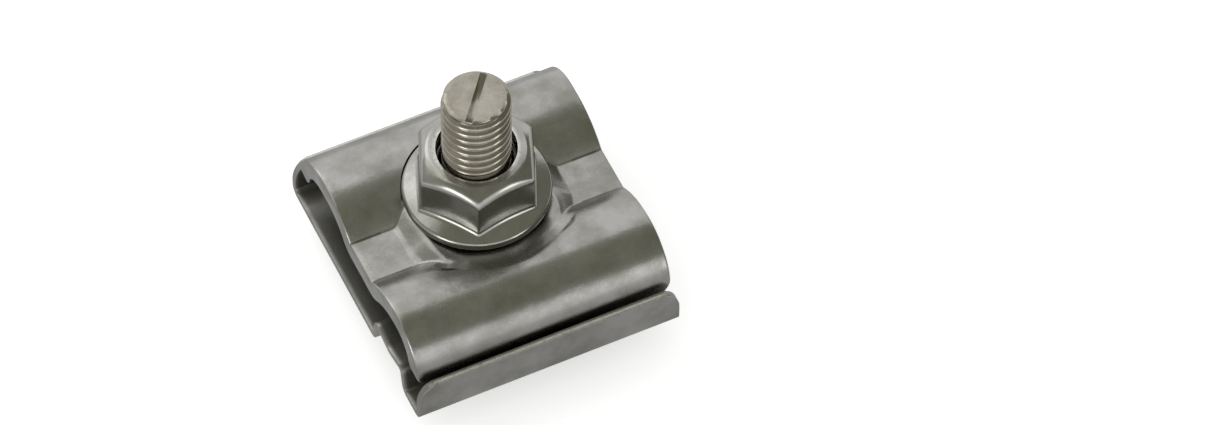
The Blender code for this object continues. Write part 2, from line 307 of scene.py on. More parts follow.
def turned(name: str, profile: Sequence[tuple[float, float]], steps: int = 128) -> Object:
    """Make a solid turned about Z, with flat ends.

    Args:
        name: the object's name.
        profile: its (radius, z) points.
        steps: how many facets go round.

    Returns:
        The turned object.
    """
    angles = [math.tau * k / steps for k in range(steps)]
    return lofted(name, [
        [Vector((radius * math.cos(angle), radius * math.sin(angle), z)) for angle in angles]
        for radius, z in profile
    ])


def settle(piece: Object) -> None:
    """Turn what a piece's modifiers give into its plain mesh.

    Args:
        piece: the piece, which has no modifier afterwards.
    """
    bpy.context.view_layer.update()
    evaluated = piece.evaluated_get(bpy.context.evaluated_depsgraph_get())
    mesh = bpy.data.meshes.new_from_object(evaluated)
    mesh.name = piece.name
    piece.modifiers.clear()
    piece.data = mesh


def cut_or_join(piece: Object, operation: str, helper: Object) -> None:
    """Cut a helper object out of a piece or join it on.

    Args:
        piece: the piece.
        operation: DIFFERENCE or UNION.
        helper: the other solid, which is then removed.
    """
    step = piece.modifiers.new(helper.name, "BOOLEAN")
    step.operation = operation
    step.object = helper
    step.solver = "EXACT"
    settle(piece)
    bpy.data.objects.remove(helper, do_unlink=True)


def round_edges(piece: Object, width: float, segments: int, over: float) -> None:
    """Round a piece's sharp edges.

    Args:
        piece: the piece.
        width: how wide the rounding is.
        segments: how many facets it has.
        over: the angle in degrees past which an edge is rounded.
    """
    step = piece.modifiers.new("rounded_edges", "BEVEL")
    step.width = width * MM
    step.segments = segments
    step.limit_method = "ANGLE"
    step.angle_limit = math.radians(over)
    settle(piece)


def dress(
    piece: Object, steel: Material, sharp: float, outer: float, inner: float, spare: float = 0.0
) -> None:
    """Shade a piece, give it its steel, and mark its edges for wear with a painted highlight and
    its creases for painted shade.

    The attribute edge is 1 on outer edges, -1 in creases and roots, and 0 on plain faces.

    Args:
        piece: the piece, with its last shape.
        steel: its material.
        sharp: the angle in degrees past which an edge shows as a hard line.
        outer: the angle past which an outer edge is marked.
        inner: the same for a crease.
        spare: radius about the bolt's axis within which nothing is marked.
    """
    piece.data.shade_smooth()
    piece.data.set_sharp_from_angle(angle=math.radians(sharp))
    piece.data.materials.clear()
    piece.data.materials.append(steel)
    shape = bmesh.new()
    shape.from_mesh(piece.data)
    marks = []
    for vertex in shape.verts:
        bends = [
            edge.calc_face_angle_signed(0.0) for edge in vertex.link_edges if edge.is_manifold
        ]
        sharpest = max(bends, key=abs, default=0.0)
        limit = math.radians(outer if sharpest > 0 else inner)
        marked = abs(sharpest) > limit and vertex.co.xy.length > spare * MM
        marks.append(math.copysign(1.0, sharpest) if marked else 0.0)
    shape.free()
    attribute = piece.data.attributes.new("edge", "FLOAT", "POINT")
    attribute.data.foreach_set("value", marks)


@dataclass(frozen=True)
class SteelFinish:
    """A stainless surface, given by the marks that its making and handling left.

    Lengths are in millimetres on the object, turns in degrees. The scratches' tilt is in
    radians, and their width is in the measure of the noise that draws them. A real grain
    and real scratches are a few hundredths of a millimetre wide, too fine for the picture,
    so they are drawn several times as coarse. Outer edges get worn bare metal with a
    painted highlight, and creases and roots get painted shade.
    """

    name: str
    colour: str
    worn_colour: str
    # the edge colour is worn bare metal with a painted highlight; the crease colour and its share
    # are painted shade in creases and roots
    edge_colour: str
    grime: float
    roughness: float
    roughness_swing: float
    blotch: float
    dimple: float
    dimple_height: float
    grain: float
    grain_height: float
    scratch_gap: float
    scratch_share: float
    scratch_turn: float
    scratch_cross: float = 63.0
    scratch_tilt: tuple[float, float] = (0.3, 0.2)
    scratch_stretch: float = 30.0
    scratch_width: float = 0.012
    scratch_height: float = 0.004
    scratch_gloss: float = 0.05
    patch: float = 1 / 0.45
    ragged: float = 1 / 1.4
    edge_gloss: float = 0.08
    # painted shade in creases and roots
    grime_colour: str = "#3a3933"

    def scratches(self, tree: NodeTree, place: NodeSocket, turn: float) -> Node:
        """Add one set of fine straight scratches.

        Args:
            tree: the material's node tree.
            place: the place on the object in millimetres.
            turn: the scratches' direction about Z.

        Returns:
            A node whose output is one on a scratch and zero beside it.
        """
        fine = 1 / self.scratch_gap
        laid = add_node(tree, "ShaderNodeMapping", {
            "Vector": place, "Rotation": (*self.scratch_tilt, math.radians(turn)),
            "Scale": (fine / self.scratch_stretch, fine, fine),
        })
        field = add_node(tree, "ShaderNodeTexNoise", {
            "Vector": laid, "Scale": 1.0, "Detail": 1.0, "Roughness": 0.4,
        })
        middle = add_node(tree, "ShaderNodeMath", {0: field, 1: 0.5}, operation="SUBTRACT")
        away = add_node(tree, "ShaderNodeMath", {0: middle}, operation="ABSOLUTE")
        line = add_node(tree, "ShaderNodeMapRange", {
            "Value": away, "From Max": self.scratch_width, "To Min": 1.0, "To Max": 0.0,
        })
        patch = add_node(tree, "ShaderNodeTexNoise", {
            "Vector": place, "Scale": 1 / self.patch, "Detail": 2.0,
        })
        there = add_node(tree, "ShaderNodeMapRange", {
            "Value": patch,
            "From Min": 0.62 - self.scratch_share, "From Max": 0.7 - self.scratch_share,
        })
        return add_node(tree, "ShaderNodeMath", {0: line, 1: there}, operation="MULTIPLY")

    def material(self) -> Material:
        """Build the finish as a material on the object's own coordinates.

        Returns:
            The material.
        """
        material = bpy.data.materials.new(self.name)
        material.use_nodes = True
        tree = material.node_tree
        shader = tree.nodes["Principled BSDF"]
        shader.inputs["Metallic"].default_value = 1.0
        place = add_node(tree, "ShaderNodeMapping", {
            "Vector": add_node(tree, "ShaderNodeTexCoord").outputs["Object"],
            "Scale": (1 / MM, 1 / MM, 1 / MM),
        }).outputs[0]
        blotches, dimples, grain, ragged = (
            add_node(tree, "ShaderNodeTexNoise", {
                "Vector": place, "Scale": scale, "Detail": detail, "Roughness": roughness,
            })
            for scale, detail, roughness in (
                (1 / self.blotch, 5.0, 0.62), (1 / self.dimple, 2.0, 0.5),
                (1 / self.grain, 3.0, 0.6), (1 / self.ragged, 3.0, 0.7),
            )
        )
        lines = add_node(tree, "ShaderNodeMath", {
            0: self.scratches(tree, place, self.scratch_turn),
            1: self.scratches(tree, place, self.scratch_turn + self.scratch_cross),
        }, operation="MAXIMUM")
        normal: dict[str, Node] = {}
        for strength, height, pattern, sunk_in in (
            (1.0, self.dimple_height, dimples, False),
            (1.0, self.grain_height, grain, False),
            (0.5, self.scratch_height, lines, True),
        ):
            normal = {"Normal": add_node(tree, "ShaderNodeBump", {
                "Strength": strength, "Distance": height * MM, "Height": pattern, **normal,
            }, invert=sunk_in)}
        # the edge mark is torn by noise: worn bare metal with a painted highlight on edges, painted
        # shade in the creases
        mark = add_node(tree, "ShaderNodeAttribute", attribute_name="edge").outputs["Fac"]
        torn = add_node(tree, "ShaderNodeMath", {
            0: mark, 1: ragged, 2: -0.2,
        }, operation="MULTIPLY_ADD")
        worn, grimy, bared = (
            add_node(tree, "ShaderNodeMapRange", {
                "Value": value, "From Min": start, "From Max": end, "To Max": most,
            })
            for value, start, end, most in (
                (blotches, 0.36, 0.64, 1.0), (mark, -0.2, -1.0, self.grime), (torn, 0.0, 0.35, 1.0),
            )
        )
        colour: Any = linear(self.colour)
        for share, other in (
            (worn, self.worn_colour), (grimy, self.grime_colour), (bared, self.edge_colour),
        ):
            colour = add_node(tree, "ShaderNodeMix", {
                0: share, 6: colour, 7: linear(other),
            }, data_type="RGBA").outputs[2]
        roughness = add_node(tree, "ShaderNodeMapRange", {
            "Value": blotches, "From Min": 0.3, "From Max": 0.7,
            "To Min": self.roughness - self.roughness_swing,
            "To Max": self.roughness + self.roughness_swing,
        })
        for rubbed, gloss in ((lines, self.scratch_gloss), (bared, self.edge_gloss)):
            roughness = add_node(tree, "ShaderNodeMath", {
                0: rubbed, 1: -gloss, 2: roughness,
            }, operation="MULTIPLY_ADD")
        for name, source in (
            ("Base Color", colour), ("Roughness", roughness.outputs[0]),
            ("Normal", normal["Normal"].outputs[0]),
        ):
            tree.links.new(source, shader.inputs[name])
        return material


class Steel(Enum):
    """The four stainless finishes of the clamp."""

    # thick plate, blanked, pressed and tumbled with ceramic chips: soft gloss and tiny
    # dents, with a fine tooth that is drawn about five times as coarse as it is
    TUMBLED = SteelFinish(
        name="tumbled_stainless_plate",
        colour="#acaba8", worn_colour="#93928c", edge_colour="#cfcec9", grime=0.45,
        roughness=0.27, roughness_swing=0.05, blotch=5.0, dimple=1.6, dimple_height=0.03,
        grain=0.22, grain_height=0.0035,
        scratch_gap=0.35, scratch_share=0.14, scratch_turn=24.0,
    )
    # thin cold-rolled sheet as it left the mill: matt and even, with long faint rub marks
    # along it and a rolled grain that is drawn coarser than it is
    MILL = SteelFinish(
        name="cold_rolled_stainless_sheet",
        colour="#aaa9a5", worn_colour="#8f8e88", edge_colour="#c4c3be", grime=0.3,
        roughness=0.38, roughness_swing=0.05, blotch=8.0, dimple=3.0, dimple_height=0.02,
        grain=0.18, grain_height=0.003,
        scratch_gap=0.4, scratch_share=0.14, scratch_turn=5.0,
    )
    # cold-headed and rolled bolt, pickled: slightly warm and uneven, with painted shade in the
    # thread's roots and an etched grain that is drawn coarser than it is
    PICKLED = SteelFinish(
        name="pickled_stainless_bolt",
        colour="#ada89e", worn_colour="#979286", edge_colour="#c3beb0", grime=0.85,
        roughness=0.2, roughness_swing=0.06, blotch=3.0, dimple=1.2, dimple_height=0.015,
        grain=0.15, grain_height=0.003,
        scratch_gap=0.3, scratch_share=0.1, scratch_turn=50.0,
    )
    # cold-formed nut, washed bright: glossy faces with few marks, and hardly any grain,
    # which is drawn coarser than it is
    BRIGHT = SteelFinish(
        name="bright_stainless_nut",
        colour="#acaba6", worn_colour="#9c9b95", edge_colour="#d4d3cd", grime=0.3,
        roughness=0.2, roughness_swing=0.05, blotch=3.5, dimple=1.8, dimple_height=0.02,
        grain=0.2, grain_height=0.002,
        scratch_gap=0.45, scratch_share=0.05, scratch_turn=75.0,
    )


@dataclass(frozen=True)
class RolledThread:
    """A metric thread as a closed rod, made by a Geometry Nodes tree.

    The tree lays a grid round the axis so that its rows follow the helix: a row is at one
    place of the thread's profile all the way up, and the rod's ends close on the axis.
    """

    pitch: float = 1.5
    columns: int = 64
    rows_per_turn: int = 12
    spare_turns: float = 4.0
    end_slope: float = 1.15

    def tree(self) -> NodeTree:
        """Build the node tree.

        Returns:
            The tree, with inputs for crest, root, ends, chamfer and steel.
        """
        tree = bpy.data.node_groups.new("rolled_thread", "GeometryNodeTree")
        sockets = dict.fromkeys(
            ("Crest Radius", "Root Radius", "Pitch", "Bottom", "Top", "End Chamfer"), "Float"
        ) | {"Columns": "Int", "Rows Per Turn": "Int", "Steel": "Material"}
        for name, kind in sockets.items():
            tree.interface.new_socket(name, in_out="INPUT", socket_type=f"NodeSocket{kind}")
        tree.interface.new_socket(
            "Geometry", in_out="OUTPUT", socket_type="NodeSocketGeometry"
        )
        known: dict[Any, Any] = {
            socket.name: socket for socket in add_node(tree, "NodeGroupInput").outputs
        }
        known |= {socket.name: socket for socket in add_node(tree, "ShaderNodeSeparateXYZ", {
            0: add_node(tree, "GeometryNodeInputPosition"),
        }).outputs}
        # each line is a value's name, what makes it, and the names or numbers it is made of
        for name, made_by, *parts in (
            ("height", "SUBTRACT", "Top", "Bottom"),
            ("pitches", "DIVIDE", "height", "Pitch"),
            ("whole pitches", "CEIL", "pitches"),
            ("turns", "ADD", "whole pitches", self.spare_turns),
            ("rows", "MULTIPLY", "turns", "Rows Per Turn"),
            ("points round", "ADD", "Columns", 1.0),
            ("points up", "ADD", "rows", 1.0),
            ("around", "ADD", "X", 0.5),
            ("share up", "ADD", "Y", 0.5),
            ("rows up", "MULTIPLY", "share up", "rows"),
            ("row", "ROUND", "rows up"),
            ("climbed", "DIVIDE", "row", "Rows Per Turn"),
            ("start", "MULTIPLY_ADD", "Pitch", -self.spare_turns / 2, "Bottom"),
            ("wound", "ADD", "climbed", "around"),
            ("run", "MULTIPLY_ADD", "wound", "Pitch", "start"),
            ("run from bottom", "MAXIMUM", "run", "Bottom"),
            ("z", "MINIMUM", "run from bottom", "Top"),
            ("wave", "PINGPONG", "climbed", 0.5),
            ("flank", "SMOOTHSTEP", "wave", 0.0, 0.5, "Root Radius", "Crest Radius"),
            ("left", "SUBTRACT", "Top", "z"),
            ("nose", "SUBTRACT", "Crest Radius", "End Chamfer"),
            ("nosed", "ADD", "nose", "left"),
            ("reach", "MINIMUM", "flank", "nosed"),
            ("off", "SUBTRACT", "run", "z"),
            ("past end", "ABSOLUTE", "off"),
            ("past", "DIVIDE", "past end", "Pitch"),
            ("shrunk", "MULTIPLY_ADD", "past", -self.end_slope, 1.0),
            ("closing", "MAXIMUM", "shrunk", 0.0),
            ("radius", "MULTIPLY", "reach", "closing"),
            ("angle", "MULTIPLY", "around", math.tau),
            ("cosine", "COSINE", "angle"),
            ("sine", "SINE", "angle"),
            ("x", "MULTIPLY", "radius", "cosine"),
            ("y", "MULTIPLY", "radius", "sine"),
        ):
            inputs = {k: known.get(part, part) for k, part in enumerate(parts)}
            if made_by == "SMOOTHSTEP":
                kind, setting = "ShaderNodeMapRange", "interpolation_type"
            else:
                kind, setting = "ShaderNodeMath", "operation"
            known[name] = add_node(tree, kind, inputs, **{setting: made_by})
        grid = add_node(tree, "GeometryNodeMeshGrid", {
            "Size X": 1.0, "Size Y": 1.0,
            "Vertices X": known["points round"], "Vertices Y": known["points up"],
        })
        moved = add_node(tree, "ShaderNodeCombineXYZ", {
            k: known[name] for k, name in enumerate("xyz")
        })
        made = add_node(tree, "GeometryNodeSetPosition", {"Geometry": grid, "Position": moved})
        made = add_node(tree, "GeometryNodeMergeByDistance", {"Geometry": made, "Distance": TINY})
        made = add_node(tree, "GeometryNodeRealizeInstances", {0: made})
        made = add_node(tree, "GeometryNodeSetMaterial", {
            "Geometry": made, "Material": known["Steel"],
        })
        add_node(tree, "NodeGroupOutput", {0: made})
        return tree

    def rod(
        self, name: str, crest: float, root: float, bottom: float, top: float, chamfer: float,
        steel: Material,
    ) -> Object:
        """Make a threaded rod.

        Args:
            name: the object's name.
            crest: radius over the crests.
            root: radius in the roots.
            bottom: height of its lower end.
            top: height of its upper end.
            chamfer: width of the chamfer at the upper end.
            steel: its material.

        Returns:
            The rod as a plain mesh.
        """
        piece = mesh_object(name, [], [])
        step = piece.modifiers.new("thread", "NODES")
        step.node_group = self.tree()
        values = {
            "Crest Radius": crest * MM, "Root Radius": root * MM, "Pitch": self.pitch * MM,
            "Bottom": bottom * MM, "Top": top * MM, "End Chamfer": chamfer * MM,
            "Columns": self.columns, "Rows Per Turn": self.rows_per_turn, "Steel": steel,
        }
        for item in step.node_group.interface.items_tree:
            if item.name in values:
                step[item.identifier] = values[item.name]
        settle(piece)
        face_outwards(piece.data)
        return piece


@dataclass(frozen=True)
class BottomPlate:
    """The folded sheet with two lips and a raised cradle."""

    place: Extent
    thickness: float = 1.0
    lip_corner: float = 4.0
    lip_corner_width: float = 2.5
    far_lip_drop: float = 0.7
    fold: float = 0.6
    cradle_middle: float = -13.9
    cradle_width: float = 9.4
    ridge_height: float = 4.1
    valley_height: float = 3.1
    wall_lean: float = 0.9
    foot_radius: float = 0.5
    ridge_radius: float = 0.4
    valley_radius: float = 2.5
    hole_radius: float = 5.625
    edge: float = 0.15
    rubbed: float = 0.7
    steps: int = 12

    def folds(self) -> list[Station]:
        """Draw the sheet's underside.

        Returns:
            The stations from one lip's corners to the other's.
        """
        base, near, far = self.place.low.z, self.place.low.y, self.place.high.y
        near_level = self.place.high.z - self.lip_corner
        half = self.cradle_width / 2
        near_foot, far_foot = self.cradle_middle - half, self.cradle_middle + half
        ridge = base + self.ridge_height
        return bent_path([
            (near, near_level, 0),
            (near, base, self.fold),
            (near_foot, base, self.foot_radius),
            (near_foot + self.wall_lean, ridge, self.ridge_radius),
            (self.cradle_middle, base + self.valley_height, self.valley_radius),
            (far_foot - self.wall_lean, ridge, self.ridge_radius),
            (far_foot, base, self.foot_radius),
            (far, base, self.fold),
            (far, near_level - self.far_lip_drop, 0),
        ], self.thickness, self.steps)

    def lip_corners(self, face: float, top: float, inward: float) -> list[tuple[Station, float]]:
        """Draw a lip's rounded corners.

        Args:
            face: y of the lip's outer face.
            top: height of the lip's edge.
            inward: the sign of the way from the outer face into the sheet.

        Returns:
            The stations upwards, each with half the sheet's length there.
        """
        rows = []
        for k in range(1, self.steps + 1):
            angle = QUARTER * k / self.steps
            z = top - self.lip_corner * (1 - math.sin(angle))
            inset = self.lip_corner_width * (1 - math.cos(angle))
            station = Station(Vector((face, z)), Vector((inward, 0)))
            rows.append((station, self.place.high.x - inset))
        return rows

    def build(self) -> Object:
        """Build the plate, with its edges just broken, and let it stand for its node.

        Returns:
            The plate.
        """
        top = self.place.high.z
        rows = [
            *reversed(self.lip_corners(self.place.low.y, top, 1)),
            *((station, self.place.high.x) for station in self.folds()),
            *self.lip_corners(self.place.high.y, top - self.far_lip_drop, -1),
        ]
        rings = []
        for station, half in rows:
            back = station.point + station.normal * self.thickness
            along = [-half, -half + self.rubbed, half - self.rubbed, half]
            rings.append([
                *(Vector((x, *station.point)) for x in along),
                *(Vector((x, *back)) for x in reversed(along)),
            ])
        end = [[k, k + 1, 6 - k, 7 - k] for k in range(3)]
        plate = lofted("folded_bottom_plate", rings, end)
        hole = turned("bottom_hole", [(self.hole_radius, 0), (self.hole_radius, top)])
        cut_or_join(plate, "DIFFERENCE", hole)
        round_edges(plate, self.edge, segments=2, over=50)
        dress(plate, Steel.MILL.value.material(), sharp=45, outer=25, inner=12)
        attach(plate, "bottom_plate")
        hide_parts("bottom_plate")
        return plate


@dataclass(frozen=True)
class TopPlate:
    """The pressed plate: two channels, a web between them and the nut's round seat.

    A turn gives where a form of the seat comes in, as a start and a span of the cosine
    between a place's direction from the bolt and the way to the near rim.
    """

    place: Extent
    thickness: float = 3.0
    far_inside: float = 5.1
    far_flat: float = 1.8
    far_flank_inside: float = 7.6
    far_rim_angle: float = 8.0
    near_inside: float = 4.0
    near_flank_inside: float = 9.9
    near_rim: float = 2.1
    near_rim_corner: float = 3.0
    near_rim_reach: float = 4.5
    web_drop: float = 3.3
    web_crease: float = 0.5
    seat_drop: float = 1.5
    seat_radius: float = 9.9
    seat_front_radius: float = 12.4
    seat_turn: tuple[float, float] = (0.35, 0.35)
    seat_foot: float = 14.2
    seat_foot_sink: float = 0.5
    seat_half_width: float = 13.1
    cone_lift: float = 0.15
    cone_blend: float = 0.5
    cone_front_blend: float = 0.8
    press_radius: float = 14.1
    press_rise: float = 0.4
    press_wall: float = 1.6
    press_turn: tuple[float, float] = (0.74, 0.14)
    press_foot_blend: float = 0.3
    press_blend: float = 0.66
    flange_well: float = 10.74
    well_lift: float = 0.06
    well_round: float = 0.2
    well_lean: float = 0.05
    recess_inset: float = 1.4
    recess_end: float = 14.1
    hole_radius: float = 5.625
    edge: float = 0.4
    crease_blend: float = 0.25
    soft_blend: float = 1.1
    soft_turn: tuple[float, float] = (0.45, 0.55)
    swell: float = 0.035
    swell_size: float = 7.0
    swell_fade: float = 0.5
    fine_gap: float = 0.28
    fine_reach: float = 15.4
    coarse_gap: float = 0.8
    pressed_reach: float = 16.2
    arc_steps: int = 40
    slope_steps: int = 36
    crease_steps: int = 24
    edge_steps: int = 4

    def lean(self, radius: float) -> float:
        """Return how many degrees an arc takes from the crest down to the web."""
        return math.degrees(math.acos(1 - self.web_drop / radius))

    def stations(self) -> list[Station]:
        """Draw the upper face.

        Returns:
            The stations from the near rim to the far rim.
        """
        crest = self.place.high.z
        near_radius, slope_radius, flank_radius, far_radius = (
            inside + self.thickness for inside in (
                self.near_inside, self.near_flank_inside, self.far_flank_inside, self.far_inside,
            )
        )
        near_middle = self.place.low.y + near_radius
        far_middle = self.place.high.y - far_radius
        near, slope, flank, far = (
            arc((middle, crest - radius), radius, start, end, steps)
            for middle, radius, start, end, steps in (
                (near_middle, near_radius, 180, 90, self.arc_steps),
                (near_middle, slope_radius, 90, 90 - self.lean(slope_radius), self.slope_steps),
                (
                    far_middle - self.far_flat, flank_radius,
                    90 + self.lean(flank_radius), 90, self.arc_steps,
                ),
                (far_middle, far_radius, 90, self.far_rim_angle, self.arc_steps),
            )
        )
        middle = bent_path([
            (*slope[-2].point, 0),
            (*slope[-1].point, self.web_crease),
            (*flank[0].point, self.web_crease),
            (*flank[1].point, 0),
        ], -self.thickness, self.crease_steps)
        rim = Station(near[0].point - Vector((0, self.near_rim)), near[0].normal)
        return [rim, *near, *slope[1:-1], *middle[1:-1], *flank[1:], *far]

    def frustum(self, x: float, y: float, inset: float, top: float) -> float:
        """Return the height of the seat's pad, in line with its round foot.

        Args:
            x: the place along the channels.
            y: the place across them.
            inset: how far inside the upper face's pad this one stays.
            top: the pad's height.

        Returns:
            The height at that place, which falls outside the pad's flat.
        """
        radius = math.hypot(x, y)
        front = share_of(-y / max(radius, TINY), *self.seat_turn)
        flat = self.seat_radius + (self.seat_front_radius - self.seat_radius) * front - inset
        if radius <= flat:
            return top
        across = max(abs(x) / radius, TINY)
        reach = min(self.seat_foot - inset, (self.seat_half_width - inset) / across)
        drop = self.web_drop + self.seat_foot_sink - self.seat_drop
        if inset == 0:
            drop += self.cone_lift
        return top - drop * (radius - flat) / (reach - flat)

    def upper(self, x: float, y: float, z: float) -> float:
        """Raise the seat on the upper face and press it into the near arch.

        Args:
            x: the place along the channels.
            y: the place across them.
            z: the bent plate's height there.

        Returns:
            The pressed plate's height there.
        """
        seat = self.place.high.z - self.seat_drop
        radius = math.hypot(x, y)
        forward = -y / max(radius, TINY)
        front = share_of(forward, *self.soft_turn)
        melt = self.crease_blend + (self.soft_blend - self.crease_blend) * front
        cone = self.frustum(x, y, 0, seat + self.cone_lift)
        pad = smooth_min(cone, seat, self.cone_blend + self.cone_front_blend * front)
        if y >= 0:
            return smooth_max(z, pad, melt)
        rise = self.press_rise * share_of(forward, *self.press_turn)
        ramp = seat + max(0.0, radius - self.flange_well) * rise
        wall = ramp + (radius - self.press_radius) * self.press_wall
        pressed = smooth_max(ramp, wall, self.press_foot_blend)
        return smooth_max(smooth_min(z, pressed, self.press_blend), pad, melt)

    def lower(self, x: float, y: float, z: float) -> float:
        """Hollow the lower face under the seat's pad, except in the far channel.

        Args:
            x: the place along the channels.
            y: the place across them.
            z: the bent plate's height there.

        Returns:
            The pressed plate's height there.
        """
        if y > self.place.high.y - self.recess_end:
            return z
        seat = self.place.high.z - self.seat_drop - self.thickness
        return smooth_max(z, self.frustum(x, y, self.recess_inset, seat), self.crease_blend)

    def corner(self, rim: Station, ahead: Vector) -> list[Vector]:
        """Round the two edges of a rim.

        Args:
            rim: the rim's station on the upper face.
            ahead: the direction out of the plate, along its face.

        Returns:
            The points from the upper face round to the lower.
        """
        points = []
        for side, depth in ((rim.normal, 0.0), (-rim.normal, self.thickness)):
            center = rim.point - rim.normal * depth - side * self.edge - ahead * self.edge
            edge = []
            for k in range(self.edge_steps + 1):
                angle = QUARTER * k / self.edge_steps
                edge.append(center + self.edge * (side * math.cos(angle) + ahead * math.sin(angle)))
            points += reversed(edge) if depth else edge
        return points

    def outline(self) -> tuple[list[Vector], list[str]]:
        """Draw the section's closed outline.

        Returns:
            The points, and which face each is on: upper, lower or rim.
        """
        stations = self.stations()
        face = filled(stations, self.fine_gap, self.edge)[1:-1]
        near, far = stations[0], stations[-1]
        runs = (
            ("upper", [station.point for station in face]),
            ("rim", self.corner(far, -left_of(far.normal))),
            ("lower", [s.point - s.normal * self.thickness for s in reversed(face)]),
            ("rim", self.corner(near, left_of(near.normal))[::-1]),
        )
        points = [point for _, run in runs for point in run]
        return points, [side for side, run in runs for _ in run]

    def length_share(self, y: float, z: float) -> float:
        """Draw the plate's ends in at the near rim's round corners.

        Args:
            y: the place across the channels.
            z: its height.

        Returns:
            The share of the plate's length that is left there.
        """
        radius = self.near_rim_corner
        bottom = self.place.high.z - self.near_inside - self.thickness - self.near_rim
        short = bottom + radius - z
        if short <= 0 or y > self.place.low.y + self.near_rim_reach:
            return 1.0
        inset = radius - math.sqrt(max(0.0, radius ** 2 - short ** 2))
        return 1 - inset / self.place.high.x

    def columns(self) -> list[tuple[float, float]]:
        """Place the sections, close together round the seat.

        Returns:
            Each section's x and how far its outline is drawn in to round the end.
        """
        half, dense = self.place.high.x, self.fine_reach
        fine = round(2 * dense / self.fine_gap)
        coarse = round((half - self.edge - dense) / self.coarse_gap)
        inner = [(-dense + 2 * dense * k / fine, 0.0) for k in range(fine + 1)]
        outer = [
            (dense + (half - self.edge - dense) * k / coarse, 0.0) for k in range(1, coarse + 1)
        ]
        for k in range(1, self.edge_steps + 1):
            angle = QUARTER * k / self.edge_steps
            inset = self.edge * (1 - math.cos(angle))
            outer.append((half - self.edge + self.edge * math.sin(angle), inset))
        return [*((-x, inset) for x, inset in reversed(outer)), *inner, *outer]

    def vertex(self, x: float, spot: Vector, side: str) -> Vector:
        """Press a point of the bent plate into its place.

        Args:
            x: the section's place along the channels.
            spot: the point's (y, z) in the section.
            side: the face that it is on.

        Returns:
            The point, with the plate's slight swell added.
        """
        y, z = spot
        span = x * self.length_share(y, z)
        if math.hypot(x, y) < self.pressed_reach and side != "rim":
            z = self.upper(x, y, z) if side == "upper" else self.lower(x, y, z)
        wobble = noise.noise(Vector((x, y, self.swell_size)) / self.swell_size)
        fade = share_of(self.place.high.z, z, self.swell_fade)
        return Vector((span, y, z + self.swell * wobble * fade))

    def build(self) -> Object:
        """Build the plate and let it stand for its node.

        Returns:
            The plate.
        """
        outline, sides = self.outline()
        count = len(outline)
        inward = [
            -left_of((outline[(k + 1) % count] - outline[k - 1]).normalized())
            for k in range(count)
        ]
        sections = [
            [
                self.vertex(x, point + way * inset, side)
                for point, side, way in zip(outline, sides, inward)
            ]
            for x, inset in self.columns()
        ]
        run = sides.count("upper")
        corner = (count - 2 * run) // 2
        across = [(k, 2 * run + corner - 1 - k) for k in range(run)]
        end = [[*one, *reversed(other)] for one, other in zip(across, across[1:])]
        end += [range(run - 1, run + corner + 1), [*range(count - corner - 1, count), 0]]
        plate = lofted("pressed_top_plate", sections, end)
        above = self.place.high.z + 1
        floor = self.place.high.z - self.seat_drop + self.well_lift
        side = self.well_round - self.well_lean
        for cutter in (
            turned("top_hole", [(self.hole_radius, 0), (self.hole_radius, above)]),
            turned("flange_well", [
                (self.flange_well - self.well_round, floor),
                (self.flange_well - self.well_lean, floor + side), (self.flange_well, above),
            ]),
        ):
            cut_or_join(plate, "DIFFERENCE", cutter)
        dress(
            plate, Steel.TUMBLED.value.material(), sharp=35, outer=30, inner=3,
            spare=self.press_radius + 0.6,
        )
        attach(plate, "top_plate")
        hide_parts("top_plate")
        return plate


@dataclass(frozen=True)
class HammerBolt:
    """The hammer-head bolt: cold-formed head, rolled thread and a slot in its end."""

    place: Extent
    crest_radius: float = 4.925
    root_radius: float = 4.3
    end_chamfer: float = 0.5
    head_length: float = 28.4
    head_width: float = 12.2
    head_thickness: float = 4.7
    corner_radius: float = 5.8
    corner_steps: int = 24
    head_edge: float = 0.45
    head_angle: float = 51.0
    slot_width: float = 1.0
    slot_depth: float = 1.35
    cutter_radius: float = 7.5
    cutter_steps: int = 96

    def outline(self) -> list[Vector]:
        """Draw the head from above: two opposite corners square, two round.

        Returns:
            The outline's points.
        """
        half_length, half_width = self.head_length / 2, self.head_width / 2
        center = Vector((half_length - self.corner_radius, self.corner_radius - half_width))
        half = []
        for k in range(self.corner_steps + 1):
            angle = QUARTER * (k / self.corner_steps - 1)
            half.append(center + self.corner_radius * Vector((math.cos(angle), math.sin(angle))))
        half.append(Vector((half_length, half_width)))
        turn = Matrix.Rotation(math.radians(self.head_angle), 2)
        return [turn @ point for point in (*half, *(-point for point in half))]

    def slot(self) -> Object:
        """Make the disc that cuts the slot in line with the head, deepest in its middle.

        Returns:
            The disc.
        """
        radius, half = self.cutter_radius, self.slot_width / 2
        disc = turned("slot_cutter", [(radius, -half), (radius, half)], self.cutter_steps)
        middle = Vector((0, 0, self.place.high.z - self.slot_depth + radius))
        turn = Matrix.Rotation(math.radians(self.head_angle), 4, "Z")
        upright = Matrix.Rotation(QUARTER, 4, "X")
        disc.data.transform(Matrix.Translation(middle * MM) @ turn @ upright)
        return disc

    def build(self) -> Object:
        """Build the bolt and let it stand for its node.

        Returns:
            The bolt.
        """
        steel = Steel.PICKLED.value.material()
        bolt = lofted("hammer_head_bolt", [
            [Vector((*point, z)) for point in self.outline()]
            for z in (self.place.low.z, self.head_thickness)
        ])
        round_edges(bolt, self.head_edge, segments=3, over=50)
        thread = RolledThread().rod(
            "shank_thread", self.crest_radius, self.root_radius,
            self.head_thickness / 2, self.place.high.z, self.end_chamfer, steel,
        )
        cut_or_join(bolt, "UNION", thread)
        cut_or_join(bolt, "DIFFERENCE", self.slot())
        dress(bolt, steel, sharp=38, outer=50, inner=12, spare=self.root_radius - 0.05)
        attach(bolt, "t_bolt")
        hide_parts("t_bolt")
        return bolt


